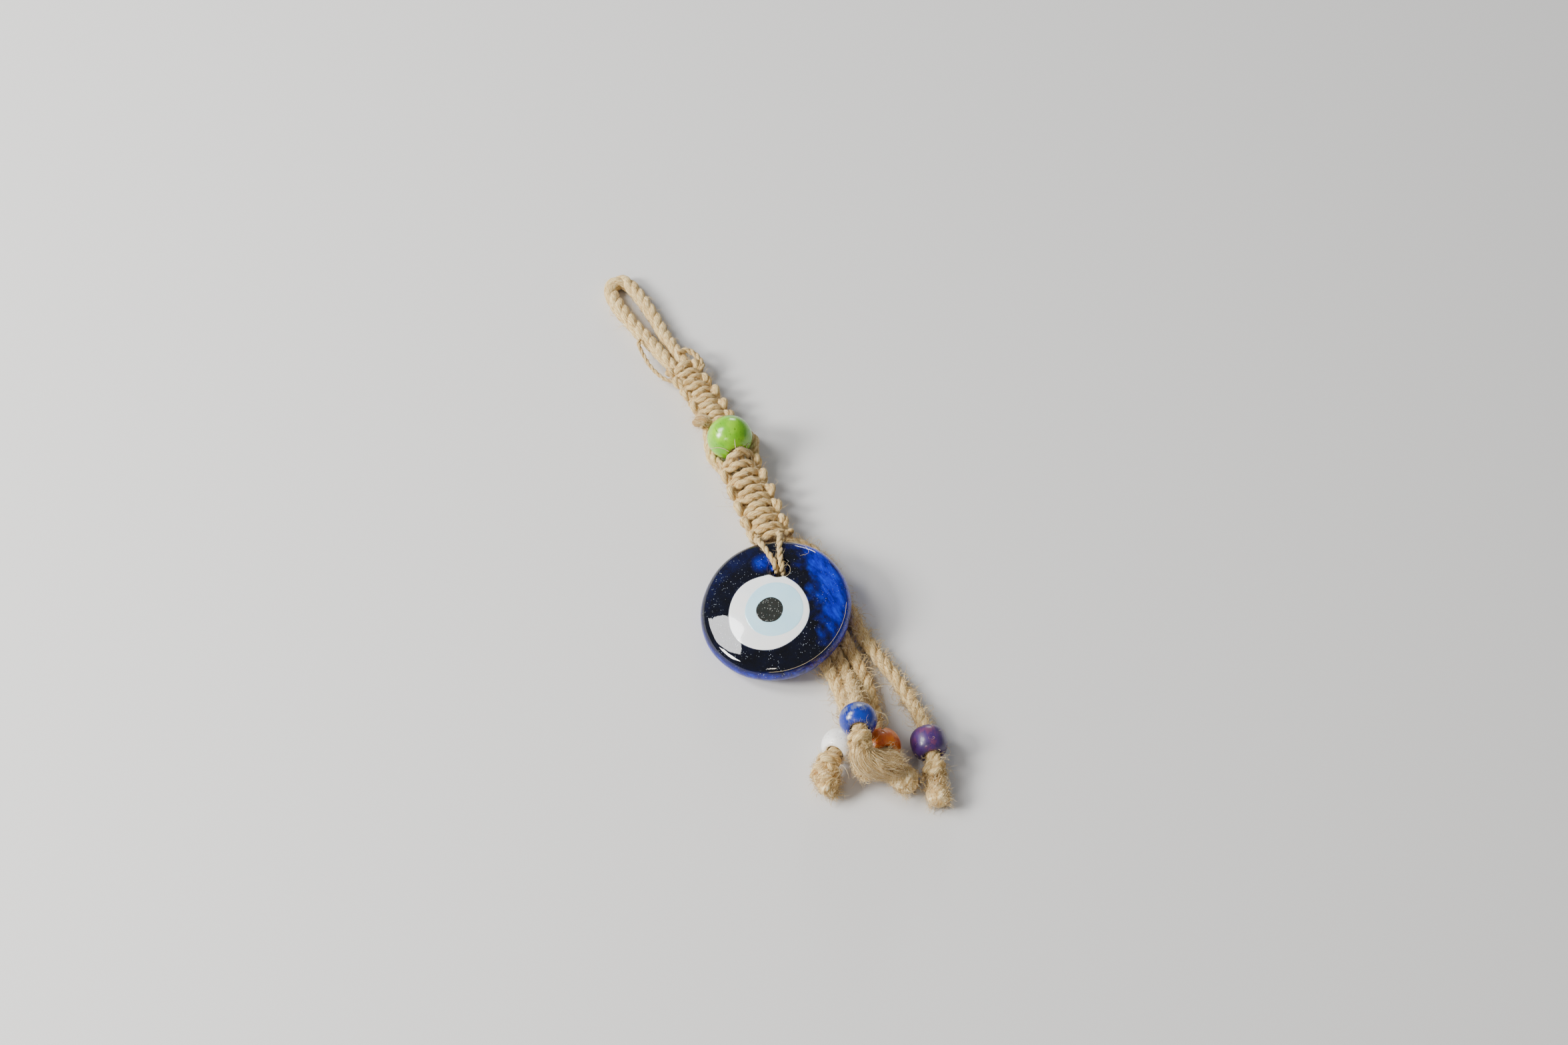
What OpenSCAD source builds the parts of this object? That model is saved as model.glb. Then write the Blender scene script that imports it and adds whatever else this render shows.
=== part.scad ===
// Evil eye ornament: a poured glass disc with an inlaid eye, hung on a knotted jute strap
// with a green bead, and four beaded jute tails that leave from behind the glass.
// Millimetres. +Z up out of the face, +Y towards the hanging loop, floor at Z = 0.

/* [Glass] */
// Diameter of the glass disc
glass_d = 40; // [39:0.5:41]
// Thickness of the glass at its middle
glass_t = 9; // [8.8:0.1:9.2]
// Radius of the rounded rim
rim_r = 3.6; // [3.4:0.1:3.8]
// Diameter of the bore that the sling passes through
bore_d = 3.8; // [3.6:0.1:4]
// Diameter of the bore's flared mouth
mouth_d = 5.8; // [5:0.1:6]
// Distance of the bore from the middle of the disc
bore_offset = 10; // [9.9:0.1:10.1]

/* [Eye] */
// Diameter of the white layer
white_d = 21.8; // [20:0.1:22]
// Diameter of the pale blue layer
iris_d = 15.8; // [13:0.1:16.5]
// Diameter of the pupil
pupil_d = 7.4; // [5:0.1:8]

/* [Rope and twine] */
// Diameter of the loose jute rope
rope_d = 3.7; // [3.5:0.05:3.75]
// Diameter of the thin jute twine
twine_d = 1.5; // [1.3:0.1:1.6]

/* [Beads] */
// Diameter of the green bead
green_d = 12.5; // [12:0.1:12.6]
// Diameter of the blue bead
blue_d = 9.6; // [9:0.1:9.6]
// Diameter of the white bead
white_bead_d = 9.2; // [8.8:0.1:9.2]
// Diameter of the orange bead
orange_d = 9.4; // [9:0.1:9.4]
// Diameter of the purple bead
purple_d = 9.2; // [8.8:0.1:9.4]
// Length of a tail bead along its bore
bead_len = 8.2; // [7.6:0.1:8.4]
// Diameter of the bore in a tail bead
bead_bore_d = 4.4; // [4.3:0.05:4.6]

/* [Hidden] */

$fn = 48;
rope_r = rope_d / 2;
twine_r = twine_d / 2;
jute = "burlywood";
fray = "wheat";

// ---- Glass disc: where it lies, and the curve of its section ----
glass_place = [15.4, -48, 3.05];  // middle of the flat back
glass_lean = 10.5;                // one side rests on the floor, the other on the tails
glass_turn = -10;                 // the bore points a little right of straight up
lean_axis = [0.366, -0.93, 0];
rim_centre = glass_d / 2 - rim_r;
rise = glass_t - rim_r;
dome_r = (rim_centre * rim_centre + rise * rise - rim_r * rim_r) / (2 * (rise - rim_r));
white_at = [-0.5, -3];
iris_at = [1.0, -2.2];
pupil_at = [-0.1, -2.6];
white_depth = 2.0;
iris_depth = 1.2;
pupil_depth = 0.7;

// ---- Sling: two twines over the rim, down the bore, in the glass disc's own frame ----
sling_left_route = [[-8.1, 19.1, 5.4], [-7.2, 18.3, 7.1], [-5.8, 16.7, 8.15], [-3, 13.4, 9.0],
    [-1.3, 11.2, 9.3], [-0.9, 10.3, 8.6], [-0.85, 10, 7.2], [-0.85, 10, 3.5], [-0.85, 10, -0.4]];
sling_right_route = [[-2.0, 21.4, 4.7], [-1.7, 20.4, 6.0], [-1.4, 19.3, 7.35], [-1.1, 17.9, 8.15],
    [-0.6, 15.8, 8.65], [0.2, 12.5, 9.25], [0.75, 10.9, 9.3], [0.85, 10.2, 8.4], [0.85, 10, 7.0],
    [0.85, 10, 3.5], [0.85, 10, -0.4]];
sling_knot_r = 1.9;
sling_knot_z = -1.6;

// ---- Strap: two knotted lengths (sinnets) with the green bead between them ----
upper_a = [-15.1, 37.9];
upper_b = [-4.9, 23.1];
upper_c = [-1.1, 12.7];
upper_z = 3.4;
upper_w = 9.9;
upper_h = 6.6;
upper_count = 10;
upper_span = [0.14, 0.99];
lower_a = [4.6, -0.5];
lower_c = [14.4, -26.3];
lower_z = 4.0;
lower_w = 12.4;
lower_h = 7.8;
lower_count = 11;
lower_span = [0.0, 0.985];
knot_fill = 0.92;                 // share of the pitch that one half knot fills
green_at = [2.2, 5.9, 8.45];
green_dir = [0.35, -0.937, 0];
green_len = 11.6;
green_bore_r = 1.9;

// Stations of the main rope: place on the strap's axis, distance to the side, height, radius
core_side = 1.75;
round_bead = 5.8;                 // each main rope passes this far beside the green bead
core_low = 3.15;
core_r = 1.7;
low_r = 1.55;
low_z = 3.4;

// ---- Hanging loop ----
loop_route = [[-16.7, 36.8, 3.4], [-18.6, 39.7, 3.0], [-22.4, 44.9, 2.2], [-28.2, 52.7, 2.0],
    [-31.9, 58.7, 2.0], [-33.2, 62.6, 2.0], [-32.3, 65.3, 2.0], [-29.9, 65.9, 2.0],
    [-27.4, 64.0, 2.0], [-24.4, 59.7, 2.0], [-20.0, 52.0, 2.0], [-16.9, 45.4, 2.2],
    [-14.8, 41.8, 3.0], [-13.5, 39.0, 3.4]];

// ---- Tails: rope from the end of the strap, under the glass, through a bead, to its knot ----
// The purple tail is spliced into the orange one behind the glass.
white_route = [[11.5, -27.4, 3.4], [15.2, -29.6, 2.3], [20.0, -33.4, 2.0], [21.9, -38, 2.0],
    [22.5, -44, 2.0], [23.3, -50, 2.0], [25.2, -56, 2.0], [27.8, -61.5, 2.0], [30.6, -68, 2.0],
    [32.6, -74, 2.0], [33.6, -79.2, 2.2], [33.0, -83.1, 3.1], [29.2, -91.1, 6.7],
    [28.2, -93.2, 7.6]];
blue_route = [[14.4, -26.3, 3.4], [18.8, -27.8, 2.3], [23.3, -31.7, 2.0], [25.4, -37.5, 2.0],
    [26.2, -44, 2.0], [27.3, -50, 2.0], [29.4, -56, 2.0], [32.0, -62, 2.0], [33.8, -66.5, 2.3],
    [34.8, -71, 4.6], [35.2, -75.3, 8.4], [35.4, -79.5, 11.3], [35.8, -88.5, 14.5],
    [35.9, -90.9, 15.3]];
orange_route = [[17.3, -25.2, 3.4], [22.5, -25.9, 2.3], [27.2, -30.2, 2.0], [29.3, -37, 2.0],
    [30.1, -44, 2.0], [31.2, -50, 2.0], [33.4, -55.5, 2.0], [36.2, -62, 2.0], [38.7, -69, 2.0],
    [40.2, -76, 2.0], [40.9, -83.0, 2.7], [42.9, -91.4, 7.1], [43.4, -93.6, 8.2]];
purple_route = [[30.0, -36.5, 2.0], [31.4, -40.5, 2.0], [33.8, -44.6, 2.0], [35.8, -49.2, 2.0],
    [38.2, -54.5, 2.0], [41.5, -59.8, 2.0], [45.2, -65, 2.0], [48.7, -71.2, 2.0],
    [51.2, -76.8, 3.2], [52.6, -81.3, 4.5], [54.6, -91.1, 5.1], [54.8, -93.2, 4.6]];

// Each bead: where its middle is, and the way its bore points
white_bead_at = [31.1, -87.1, 4.9];
white_bead_dir = [-3.8, -8, 3.6];
blue_bead_at = [35.6, -84.0, 12.9];
blue_bead_dir = [0.4, -9, 3.2];
orange_bead_at = [41.9, -87.2, 4.9];
orange_bead_dir = [2, -8.4, 4.4];
purple_bead_at = [53.6, -86.2, 4.8];
purple_bead_dir = [2, -9.8, 0.6];

// Stopper knots and the frayed ends past them
knot_r = 2.8;
white_knot_at = [28.2, -93.2, 7.6];
blue_knot_at = [35.9, -90.9, 15.3];
orange_knot_at = [43.4, -93.6, 8.2];
purple_knot_at = [54.9, -93.6, 4.2];
white_end_route = [[27.8, -94.4, 6.2], [27.6, -96.0, 4.4], [28.3, -97.6, 3.1], [30.0, -99.2, 2.4]];
white_end_radii = [2.5, 2.8, 2.7, 1.6];
blue_end_route = [[36.2, -92.6, 13.2], [36.8, -94.2, 9.6], [37.3, -94.4, 6.4], [37.0, -93.8, 3.2]];
blue_end_radii = [2.4, 2.6, 2.8, 2.4];
orange_end_route = [[44.4, -94.8, 6.8], [46.2, -95.6, 4.6], [48.4, -96.4, 3.5], [50.6, -97.8, 3.0]];
orange_end_radii = [2.4, 2.8, 3.1, 2.0];
purple_end_route = [[55.0, -94.8, 3.6], [55.2, -97.4, 3.1], [55.6, -100.2, 2.9], [55.9, -103, 2.5]];
purple_end_radii = [2.4, 2.6, 2.5, 1.6];

// ---- Helpers ----
function unit(v) = v / norm(v);
function same(value, count) = [for (i = [1:count]) value];
function bezier(a, b, c, t) = (1 - t) * (1 - t) * a + 2 * t * (1 - t) * b + t * t * c;
function bezier_dir(a, b, c, t) = unit((1 - t) * (b - a) + t * (c - b));

// Place on the strap, t from 0 to 1 along one knotted length, side to the right of its heading
function strap(a, b, c, t, side, z) =
    let (p = bezier(a, b, c, t), d = bezier_dir(a, b, c, t))
    [p[0] - side * d[1], p[1] + side * d[0], z];
function upper(t, side, z) = strap(upper_a, upper_b, upper_c, t, side, z);
function lower(t, side, z) =
    strap(lower_a, (lower_a + lower_c) / 2, lower_c, t, side, z);

// A tube swept along a route, one ring at each point, with its own radius there
module tube(route, radii, up = [0, 0, 1], sides = 8) {
    last = len(route) - 1;
    heading = [for (i = [0:last]) unit(route[min(i + 1, last)] - route[max(i - 1, 0)])];
    points = [for (i = [0:last])
        let (side = unit(cross(up, heading[i])), top = cross(heading[i], side))
        for (k = [0:sides - 1])
            route[i] + radii[i] * (cos(360 * k / sides) * side + sin(360 * k / sides) * top)];
    walls = [for (i = [0:last - 1]) for (k = [0:sides - 1])
        let (a = i * sides + k, b = i * sides + (k + 1) % sides)
        [a, a + sides, b + sides, b]];
    ends = [[for (k = [0:sides - 1]) k], [for (k = [sides - 1:-1:0]) last * sides + k]];
    polyhedron(points, concat(walls, ends), convexity = 6);
}

// Turns the Z axis to point along v
module aim(v) {
    rotate([0, acos(v[2] / norm(v)), atan2(v[1], v[0])]) children();
}

// The disc's own frame: flat back at Z = 0, bore towards +Y
module on_glass() {
    translate(glass_place) rotate(a = glass_lean, v = lean_axis) rotate(glass_turn) children();
}

// A round bead with flat ends and a bore along Z
module bead(d, length, bore_r) {
    difference() {
        intersection() {
            sphere(d = d);
            translate([0, 0, -length / 2]) cylinder(h = length, d = d + 1);
        }
        translate([0, 0, -d]) cylinder(h = 2 * d, r = bore_r);
    }
}

// One half knot: a stadium-shaped wrap across the strap
module wrap(w, h, length) {
    linear_extrude(length) {
        square([w - h, h], center = true);
        for (s = [-1, 1]) translate([s * (w - h) / 2, 0]) circle(d = h, $fn = 24);
    }
}

// A row of wraps along one knotted length of the strap
module sinnet(a, b, c, span, count, w, h, z) {
    step = (span[1] - span[0]) / count;
    pitch = norm(c - a) * step;
    for (i = [0:count - 1]) {
        t = span[0] + i * step;
        d = bezier_dir(a, b, c, t + step / 2);
        at = bezier(a, b, c, t);
        translate([at[0], at[1], z]) rotate(atan2(d[1], d[0])) rotate([90, 0, 90])
            wrap(w, h, pitch * knot_fill);
    }
}

// ---- Strap ----
module hanging_loop() {
    color(jute) {
        tube(loop_route, same(rope_r, len(loop_route)), sides = 10);
    }
}

module main_rope(side) {
    bead_side = [green_at[0] - side * round_bead * green_dir[1],
        green_at[1] + side * round_bead * green_dir[0], 2.0];
    route = concat(
        [upper(0.06, side * 1.9, upper_z), upper(0.3, side * core_side, upper_z),
         upper(0.55, side * core_side, upper_z), upper(0.8, side * core_side, upper_z),
         upper(1.0, side * 2.6, 3.0)],
        [bead_side],
        [lower(0.0, side * 3.9, 2.5), lower(0.2, side * core_low, low_z),
         lower(0.6, side * core_low, low_z), lower(1.0, side * core_low, low_z)]);
    radii = [rope_r, core_r, core_r, core_r, core_r, rope_r, core_r, low_r, low_r, low_r];
    color(jute) tube(route, radii);
}

module main_rope_left() { main_rope(-1); }

module main_rope_right() { main_rope(1); }

// A third rope joins below the green bead, between the two main ones
module second_rope() {
    color(jute) tube([for (t = [0.04, 0.35, 0.7, 1.0]) lower(t, 0, low_z)], same(low_r, 4));
}

module upper_knots() {
    color(jute) sinnet(upper_a, upper_b, upper_c, upper_span, upper_count, upper_w, upper_h, upper_z);
}

module lower_knots() {
    color(jute) sinnet(lower_a, (lower_a + lower_c) / 2, lower_c, lower_span, lower_count,
        lower_w, lower_h, lower_z);
}

// Two strands of the knotting twine carry the green bead across the gap
module bead_strands() {
    along = unit([green_dir[0], green_dir[1], 0]);
    across = [-along[1], along[0], 0];
    for (s = [-1, 1]) {
        color(jute) tube([
            green_at - along * 7.9 + across * s * 0.85 + [0, 0, -2.6],
            green_at - along * 6.6 + across * s * 0.85 + [0, 0, -0.3],
            green_at - along * 5 + across * s * 0.85,
            green_at + along * 5 + across * s * 0.85,
            green_at + along * 6.4 + across * s * 0.85 + [0, 0, -0.2],
            green_at + along * 8.2 + across * s * 0.85 + [0, 0, -1.6]], same(twine_r, 6));
    }
}

module green_bead() {
    color("yellowgreen") translate(green_at) aim(green_dir) bead(green_d, green_len, green_bore_r);
}

// ---- Glass ----
// Half section of the disc: flat back, round rim, and a dome that meets the rim in a smooth curve
module disc_section() {
    toward_rim = [rim_centre, rim_r - glass_t + dome_r] / (dome_r - rim_r);
    meet = [0, glass_t - dome_r] + toward_rim * (dome_r + 1);
    polygon([[0, 0], [rim_centre, 0], [rim_centre, rim_r], [0, rim_r]]);
    translate([rim_centre, rim_r]) circle(rim_r, $fn = 96);
    intersection() {
        translate([0, glass_t - dome_r]) circle(dome_r, $fn = 720);
        polygon([[0, rim_r], [rim_centre, rim_r], meet, [0, glass_t + 1]]);
    }
}

module disc() {
    rotate_extrude($fn = 120) disc_section();
}

module bore() {
    translate([0, bore_offset, -1]) cylinder(h = glass_t + 2, d = bore_d);
    translate([0, bore_offset, glass_t - 2.2]) cylinder(h = 2.2, d1 = bore_d, d2 = mouth_d);
}

// A layer of the eye: the dome's own surface inside a circle, down to an even depth
module layer(at, d, depth) {
    difference() {
        intersection() {
            disc();
            translate([at[0], at[1], 1]) cylinder(h = glass_t, d = d, $fn = 96);
        }
        translate([0, 0, -depth]) disc();
    }
}

module glass_disc() {
    color("navy", 0.9) on_glass() difference() {
        disc();
        layer(white_at, white_d, white_depth);
        bore();
    }
}

module eye_white() {
    color("white") on_glass() difference() {
        layer(white_at, white_d, white_depth);
        layer(iris_at, iris_d, iris_depth);
        bore();
    }
}

module eye_pale_blue() {
    color("lightcyan") on_glass() difference() {
        layer(iris_at, iris_d, iris_depth);
        layer(pupil_at, pupil_d, pupil_depth);
    }
}

module eye_pupil() {
    color("black") on_glass() layer(pupil_at, pupil_d, pupil_depth);
}

// ---- Sling ----
module sling_left() {
    color(jute) on_glass() tube(sling_left_route, same(twine_r, len(sling_left_route)), [1, 0, 0]);
}

module sling_right() {
    color(jute) on_glass() tube(sling_right_route, same(twine_r, len(sling_right_route)), [1, 0, 0]);
}

module sling_knot() {
    color(jute) on_glass() translate([0, bore_offset, sling_knot_z]) sphere(sling_knot_r);
}

// ---- Tails ----
module tail(route) { color(jute) tube(route, same(rope_r, len(route))); }

module tail_bead(at, dir, d) { translate(at) aim(dir) bead(d, bead_len, bead_bore_d / 2); }

module tail_knot(at) { color(jute) translate(at) sphere(knot_r); }

module tail_end(route, radii) { color(fray) tube(route, radii, up = [1, 0, 0]); }

module white_tail() { tail(white_route); }
module blue_tail() { tail(blue_route); }
module orange_tail() { tail(orange_route); }
module purple_tail() { tail(purple_route); }

module white_bead() { color("white") tail_bead(white_bead_at, white_bead_dir, white_bead_d); }
module blue_bead() { color("royalblue") tail_bead(blue_bead_at, blue_bead_dir, blue_d); }
module orange_bead() { color("orangered") tail_bead(orange_bead_at, orange_bead_dir, orange_d); }
module purple_bead() { color("indigo") tail_bead(purple_bead_at, purple_bead_dir, purple_d); }

module white_knot() { tail_knot(white_knot_at); }
module blue_knot() { tail_knot(blue_knot_at); }
module orange_knot() { tail_knot(orange_knot_at); }
module purple_knot() { tail_knot(purple_knot_at); }

module white_end() { tail_end(white_end_route, white_end_radii); }
module blue_end() { tail_end(blue_end_route, blue_end_radii); }
module orange_end() { tail_end(orange_end_route, orange_end_radii); }
module purple_end() { tail_end(purple_end_route, purple_end_radii); }

hanging_loop();
main_rope_left();
main_rope_right();
second_rope();
upper_knots();
lower_knots();
bead_strands();
green_bead();
sling_left();
sling_right();
sling_knot();
glass_disc();
eye_white();
eye_pale_blue();
eye_pupil();
white_tail();
blue_tail();
orange_tail();
purple_tail();
white_bead();
blue_bead();
orange_bead();
purple_bead();
white_knot();
blue_knot();
orange_knot();
purple_knot();
white_end();
blue_end();
orange_end();
purple_end();
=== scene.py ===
"""Looks of a knotted jute ornament with a poured glass eye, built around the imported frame.

Routes and sizes are in millimetres in the row frame, and mesh_piece() turns them into metres.
The glass, its eye and the sling's routes are in the disc's own frame, and on_glass() places them.
"""

import math

import bpy
import numpy as np
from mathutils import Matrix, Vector, noise


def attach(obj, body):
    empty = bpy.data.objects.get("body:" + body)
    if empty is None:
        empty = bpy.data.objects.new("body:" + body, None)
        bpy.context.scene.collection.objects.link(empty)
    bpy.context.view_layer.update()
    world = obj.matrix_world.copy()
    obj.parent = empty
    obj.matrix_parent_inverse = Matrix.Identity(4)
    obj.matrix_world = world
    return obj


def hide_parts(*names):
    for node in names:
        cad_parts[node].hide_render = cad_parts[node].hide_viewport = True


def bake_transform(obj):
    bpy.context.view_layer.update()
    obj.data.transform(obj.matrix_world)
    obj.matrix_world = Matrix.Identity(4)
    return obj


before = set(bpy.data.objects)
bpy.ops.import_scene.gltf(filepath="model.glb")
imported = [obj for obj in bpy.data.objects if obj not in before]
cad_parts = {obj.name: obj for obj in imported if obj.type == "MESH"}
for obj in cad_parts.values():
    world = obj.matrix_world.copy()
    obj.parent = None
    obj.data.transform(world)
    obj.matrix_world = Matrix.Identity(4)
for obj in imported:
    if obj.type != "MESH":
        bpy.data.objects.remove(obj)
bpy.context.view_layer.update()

MM = 0.001
UP = np.array([0.0, 0.0, 1.0])
FLOOR_GAP = 0.05
FULL_TURN = 2 * math.pi
QUARTER_TURN = math.pi / 2

# ---- Camera and light, in metres and watts ----
CAMERA_AT = (0.01707, -0.3413, 0.4944)
CAMERA_TILT = 33.3
LIT_PLACE = Vector((0.012, -0.03, 0.0))
# name, direction it shines from, distance, width and height, power, colour
LIGHTS = (
    ("key", (-0.80, -0.20, 0.56), 1.1, (0.3, 0.3), 19, (1.0, 0.985, 0.95)),
    ("softbox", (-0.66, 0.16, 0.70), 1.2, (0.36, 0.46), 12, (1.0, 1.0, 1.0)),
    ("back", (0.1, 0.96, 0.27), 1.3, (0.35, 0.25), 4, (1.0, 1.0, 1.0)),
    ("front", (-0.294, -0.70, 0.64), 1.2, (0.12, 0.12), 2, (1.0, 0.9, 0.78)),
)

# ---- Colours, under the names of their slots ----
# groove, middle, pale
JUTE = {
    "jute_rope": ((0.27, 0.13, 0.03), (0.66, 0.45, 0.17), (0.96, 0.8, 0.46)),
    "jute_twine": ((0.24, 0.11, 0.025), (0.63, 0.42, 0.15), (0.95, 0.78, 0.44)),
    "jute_fray": ((0.4, 0.23, 0.07), (0.76, 0.57, 0.28), (0.97, 0.87, 0.6)),
}
# base, cloud, specks if any
ENAMEL = {
    "white_glass": ((0.9, 0.9, 0.88), (0.82, 0.85, 0.87)),
    "pale_blue_glass": ((0.52, 0.8, 0.92), (0.44, 0.74, 0.9)),
    "black_glass": ((0.01, 0.012, 0.01), (0.022, 0.024, 0.02), (0.3, 0.32, 0.3)),
}
# base, shade, scuff, wear that the paint stands by the bore, roughness
PAINT = {
    "green_paint": ((0.24, 0.58, 0.0), (0.13, 0.42, 0.0), (0.18, 0.45, 0.0), 1.12, 0.2),
    "blue_paint": ((0.006, 0.03, 0.34), (0.004, 0.015, 0.2), (0.13, 0.15, 0.22), 1.06, 0.22),
    "orange_paint": ((0.82, 0.21, 0.0), (0.68, 0.10, 0.0), (0.48, 0.05, 0.0), 1.02, 0.3),
    "purple_paint": ((0.055, 0.016, 0.13), (0.028, 0.01, 0.075), (0.14, 0.03, 0.08), 1.0, 0.38),
    "white_paint": ((0.88, 0.87, 0.83), (0.78, 0.76, 0.71), (0.84, 0.82, 0.76), 1.0, 0.35),
}

# ---- Sizes of the ropes and twines ----
ROPE_R = 1.85
ROPE_LAY = 10.5
CORE_R = 1.7
LOW_CORE_R = 1.55
KNOT_CORD_R = 1.2
BACK_CORD_R = 1.35
KNOT_CORD_LAY = 6.5
TWINE_R = 0.82
TWINE_LAY = 4.6
PLY_SHARE = {2: 0.64, 3: 0.56}

# ---- The strap: two knotted lengths and the bead between them ----
UPPER_A, UPPER_B, UPPER_C = np.array([[-15.1, 37.9], [-4.9, 23.1], [-1.1, 12.7]])
UPPER_Z = 3.4
UPPER_SPAN = (0.14, 0.99)
UPPER_COUNT = 10
LEGS_END = 0.2
LEG_SIDE = 1.75
LOWER_A, LOWER_C = np.array([[4.6, -0.5], [14.4, -26.3]])
LOWER_Z = 4.0
LOW_CORE_Z = 3.4
LOWER_SPAN = (-0.06, 0.985)
LOWER_COUNT = 11
GREEN_AT = np.array([2.2, 5.9, 8.45])
GREEN_DIR = np.array([0.35, -0.937, 0.0])
GREEN_ACROSS = np.array([-GREEN_DIR[1], GREEN_DIR[0], 0])

LOOP_ROUTE = [
    [-16.7, 36.8, 3.4], [-18.6, 39.7, 3.0], [-22.4, 44.9, 2.2], [-28.2, 52.7, 2.0],
    [-31.9, 58.7, 2.0], [-33.2, 62.6, 2.0], [-32.3, 65.3, 2.0], [-29.9, 65.9, 2.0],
    [-27.4, 64.0, 2.0], [-24.4, 59.7, 2.0], [-20.0, 52.0, 2.0], [-16.9, 45.4, 2.2],
    [-14.8, 41.8, 3.0], [-13.5, 39.0, 3.4],
]

# ---- The glass disc: where its own frame is, and its section ----
GLASS_PLACE = np.array([15.4, -48.0, 3.05])
GLASS_LEAN = 10.5
GLASS_LEAN_AXIS = (0.366, -0.93, 0.0)
GLASS_TURN = -10.0
GLASS_T = 9.0
RIM_R = 3.6
RIM_CENTRE = 16.4
BORE_R = 1.9
BORE_EASE = 0.4
BORE_AT = np.array([0.0, 10.0])
DOME_R = (RIM_CENTRE**2 + (GLASS_T - RIM_R) ** 2 - RIM_R**2) / (2 * (GLASS_T - 2 * RIM_R))
LAYER_SUNK = 0.08

# ---- The sling, in the disc's own frame ----
SLING_LEFT = [
    [-8.1, 19.1, 5.4], [-7.2, 18.3, 7.1], [-5.8, 16.7, 8.15], [-3, 13.4, 9.0], [-1.3, 11.2, 9.3],
    [-0.9, 10.3, 8.6], [-0.85, 10, 7.2], [-0.85, 10, 3.5], [-0.85, 10, -0.4],
]
SLING_RIGHT = [
    [-2.0, 21.4, 4.7], [-1.7, 20.4, 6.0], [-1.4, 19.3, 7.35], [-1.1, 17.9, 8.15],
    [-0.6, 15.8, 8.65], [0.2, 12.5, 9.25], [0.75, 10.9, 9.3], [0.85, 10.2, 8.4],
    [0.85, 10, 7.0], [0.85, 10, 3.5], [0.85, 10, -0.4],
]
SLING_KNOT = [0.0, 10.0, -1.6]

# ---- The four tails. A length is in metres, a bead is (middle, bore direction, diameter,
# squareness), and spread is the frayed end's half width along its way ----
BEAD_LEN = 8.2
BEAD_BORE_R = 2.2
TAILS = {
    "white": {
        "route": [
            [11.5, -27.4, 3.4], [15.2, -29.6, 2.3], [20.0, -33.4, 2.0], [21.9, -38, 2.0],
            [22.5, -44, 2.0], [23.3, -50, 2.0], [25.2, -56, 2.0], [27.8, -61.5, 2.0],
            [30.6, -68, 2.0], [32.6, -74, 2.0], [33.6, -79.2, 2.2], [33.0, -83.1, 3.1],
            [29.2, -91.1, 6.7], [28.2, -93.2, 7.6],
        ],
        "length": 0.0745,
        "bead": ([31.1, -87.1, 4.9], [-3.8, -8, 3.6], 9.2, 2.3),
        "knot": [28.2, -93.2, 7.6],
        "end": [[27.6, -94.2, 6.4], [27.5, -95.9, 4.8], [28.4, -97.8, 3.3], [30.2, -99.6, 1.6]],
        "spread": [3.0, 3.9, 3.2, 0.7],
    },
    "blue": {
        "route": [
            [14.4, -26.3, 3.4], [18.8, -27.8, 2.3], [23.3, -31.7, 2.0], [25.4, -37.5, 2.0],
            [26.2, -44, 2.0], [27.3, -50, 2.0], [29.4, -56, 2.0], [32.0, -62, 2.0],
            [33.8, -66.5, 2.3], [34.8, -71, 4.6], [35.2, -75.3, 8.4], [35.4, -79.5, 11.3],
            [35.8, -88.5, 14.5], [35.9, -90.9, 15.3],
        ],
        "length": 0.0754,
        "bead": ([35.6, -84.0, 12.9], [0.4, -9, 3.2], 9.6, 2.1),
        "knot": [35.9, -90.9, 15.3],
        "end": [[36.2, -92.6, 13.2], [36.8, -94.2, 9.6], [37.3, -94.4, 6.4], [37.0, -93.8, 3.2]],
        "spread": [2.4, 2.9, 3.0, 2.4],
    },
    "orange": {
        "route": [
            [17.3, -25.2, 3.4], [22.5, -25.9, 2.3], [27.2, -30.2, 2.0], [29.3, -37, 2.0],
            [30.1, -44, 2.0], [31.2, -50, 2.0], [33.4, -55.5, 2.0], [36.2, -62, 2.0],
            [38.7, -69, 2.0], [40.2, -76, 2.0], [40.9, -83.0, 2.7], [42.9, -91.4, 7.1],
            [43.4, -93.6, 8.2],
        ],
        "length": 0.0789,
        "bead": ([41.9, -87.2, 4.9], [2, -8.4, 4.4], 9.4, 2.3),
        "knot": [43.4, -93.6, 8.2],
        "end": [[44.4, -94.8, 6.8], [46.2, -95.8, 5.0], [48.2, -97.0, 4.0], [50.0, -98.6, 3.6]],
        "spread": [2.4, 3.0, 3.5, 3.4],
    },
    "purple": {
        "route": [
            [30.0, -36.5, 2.0], [31.4, -40.5, 2.0], [33.8, -44.6, 2.0], [35.8, -49.2, 2.0],
            [38.2, -54.5, 2.0], [41.5, -59.8, 2.0], [45.2, -65, 2.0], [48.7, -71.2, 2.0],
            [51.2, -76.8, 3.2], [52.6, -81.3, 4.5], [54.6, -91.1, 5.1], [54.8, -93.2, 4.6],
        ],
        "length": 0.0629,
        "bead": ([53.6, -86.2, 4.8], [2, -9.8, 0.6], 9.2, 2.7),
        "knot": [54.9, -93.6, 4.2],
        "end": [[55.0, -94.8, 3.6], [55.2, -97.4, 3.1], [55.6, -100.2, 2.9], [55.9, -103, 2.5]],
        "spread": [2.5, 2.6, 2.9, 2.6],
    },
}


# ---- Camera, floor and light ----
def placed(name, data):
    """A new object in the scene."""
    made = bpy.data.objects.new(name, data)
    bpy.context.scene.collection.objects.link(made)
    return made


def add_camera():
    data = bpy.data.cameras.new("camera")
    data.lens = 50
    data.sensor_width = 36
    camera = placed("camera", data)
    camera.location = CAMERA_AT
    camera.rotation_euler = (math.radians(CAMERA_TILT), 0, 0)
    bpy.context.scene.camera = camera


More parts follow.
